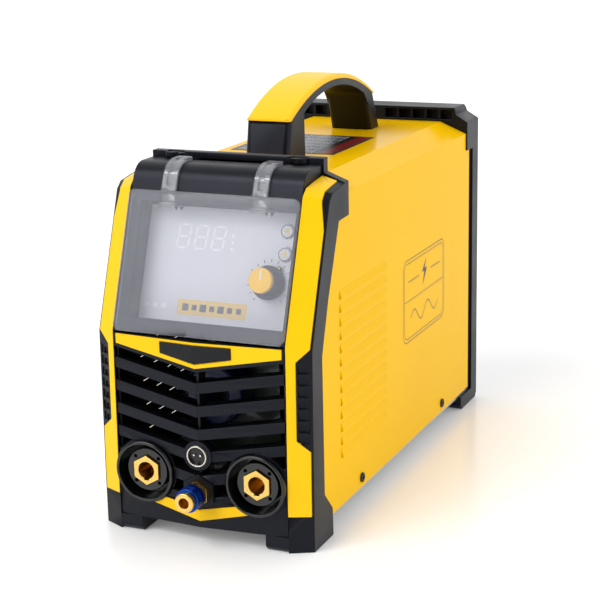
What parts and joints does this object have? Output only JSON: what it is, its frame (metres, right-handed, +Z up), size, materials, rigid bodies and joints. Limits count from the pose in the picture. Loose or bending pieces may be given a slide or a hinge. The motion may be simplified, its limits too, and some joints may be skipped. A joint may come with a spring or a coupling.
{
  "type": "tig welding machine",
  "caption": "Portable inverter TIG welding power source with louvred sheet cover, slatted front, output sockets, gas coupler, clear display flap and carrying handle.",
  "frame": {"origin": "middle of the footprint on the ground, under the centre of the overall box", "axes": "+Z up, -Y out of the front panel, +X to the right seen from the front"},
  "size_m": [0.172, 0.456, 0.319],
  "materials": {
    "yellow_powder_coat": "gloss powder coat over folded steel sheet",
    "yellow_abs": "satin gloss moulding",
    "black_abs": "fine textured moulding",
    "clear_polycarbonate": "smoky clear moulding",
    "panel_film": "printed silver-grey film",
    "dark_lens": "smoked display lens",
    "circuit_board": "solder-masked laminate",
    "brass_parts": "turned brass",
    "zinc_steel": "zinc-plated steel",
    "black_steel": "black oxide",
    "nickel_shell": "nickel plate",
    "blue_anodised": "blue anodised",
    "aluminium_sink": "extruded",
    "copper_bar": "bare copper",
    "ferrite": "sintered",
    "blue_tape": "polyester tape over windings",
    "copper_winding": "enamelled copper wire",
    "gas_hose": "reinforced rubber hose",
    "name_plate_gloss": "domed resin",
    "label_film": "printed film",
    "capacitor_sleeve": "shrink sleeve"
  },
  "bodies": {
    "root": {"top_cover": "yellow_powder_coat", "cover_screws": "black_steel", "base_plate": "zinc_steel", "front_bezel": "black_abs", "right_side_trim": "yellow_abs", "left_side_trim": "yellow_abs", "display_hood": "black_abs", "hinge_pins": "zinc_steel", "display_overlay": "panel_film", "display_module": "dark_lens", "control_board": "circuit_board", "encoder_body": "zinc_steel", "key_switches": "black_abs", "front_grille": "black_abs", "upper_chevron_trim": "yellow_abs", "lower_chevron_trim": "yellow_abs", "name_plate": "name_plate_gloss", "socket_collars": "black_abs", "socket_contacts": "brass_parts", "socket_nuts": "brass_parts", "bus_bars": "copper_bar", "remote_socket_shell": "nickel_shell", "remote_socket_insert": "black_abs", "remote_socket_pins": "nickel_shell", "panel_lock_nuts": "brass_parts", "gas_coupler_body": "brass_parts", "handle_body": "black_abs", "handle_cap": "yellow_abs", "handle_bolts": "zinc_steel", "top_label": "label_film", "rear_bezel": "black_abs", "rear_panel": "black_steel", "fan_frame": "black_abs", "fan_guard": "black_abs", "fan_screws": "zinc_steel", "switch_body": "black_abs", "cable_gland": "black_abs", "gas_inlet": "brass_parts", "gas_valve_body": "brass_parts", "gas_valve_coil": "black_abs", "gas_hoses": "gas_hose", "heat_sinks": "aluminium_sink", "power_modules": "black_abs", "main_board": "circuit_board", "bus_capacitors": "capacitor_sleeve", "transformer_core": "ferrite", "transformer_winding": "blue_tape", "output_choke": "copper_winding", "hf_board": "circuit_board", "hf_coil": "blue_tape"},
    "clear_cover": {"clear_cover": "clear_polycarbonate"},
    "control_knob": {"knob": "black_abs", "knob_cap": "yellow_abs", "encoder_shaft": "zinc_steel"},
    "lower_key": {"lower_button": "panel_film"},
    "upper_key": {"upper_button": "panel_film"},
    "power_rocker": {"switch_rocker": "black_abs"},
    "fan_rotor": {"fan_rotor": "black_abs"},
    "gas_sleeve": {"gas_coupler_sleeve": "blue_anodised"},
    "valve_plunger": {"valve_plunger": "zinc_steel"}
  },
  "joints": [
    {"name": "cover_hinge", "type": "hinge", "parent": "root", "child": "clear_cover", "pos_m": [0, -0.13547, 0.266], "axis": [-1, 0, 0], "range_deg": [0, 95]},
    {"name": "knob_turn", "type": "hinge", "parent": "root", "child": "control_knob", "pos_m": [0.043, -0.18541, 0.1994], "axis": [0, -0.9397, 0.342], "range_deg": [-140, 140]},
    {"name": "lower_key_press", "type": "slide", "parent": "root", "child": "lower_key", "axis": [0, 0.9397, -0.342], "range_m": [0, 0.001], "stiffness_N_per_m": 600},
    {"name": "upper_key_press", "type": "slide", "parent": "root", "child": "upper_key", "axis": [0, 0.9397, -0.342], "range_m": [0, 0.001], "stiffness_N_per_m": 600},
    {"name": "rocker_tilt", "type": "hinge", "parent": "root", "child": "power_rocker", "pos_m": [-0.042, 0.1835, 0.208], "axis": [1, 0, 0], "range_deg": [0, 20]},
    {"name": "fan_spin", "type": "hinge", "parent": "root", "child": "fan_rotor", "pos_m": [0, 0.17, 0.122], "axis": [0, 1, 0], "continuous": true},
    {"name": "sleeve_slide", "type": "slide", "parent": "root", "child": "gas_sleeve", "axis": [0, 1, 0], "range_m": [0, 0.0025], "stiffness_N_per_m": 800},
    {"name": "plunger_lift", "type": "slide", "parent": "root", "child": "valve_plunger", "axis": [0, 0, 1], "range_m": [0, 0.0015], "stiffness_N_per_m": 300}
  ]
}
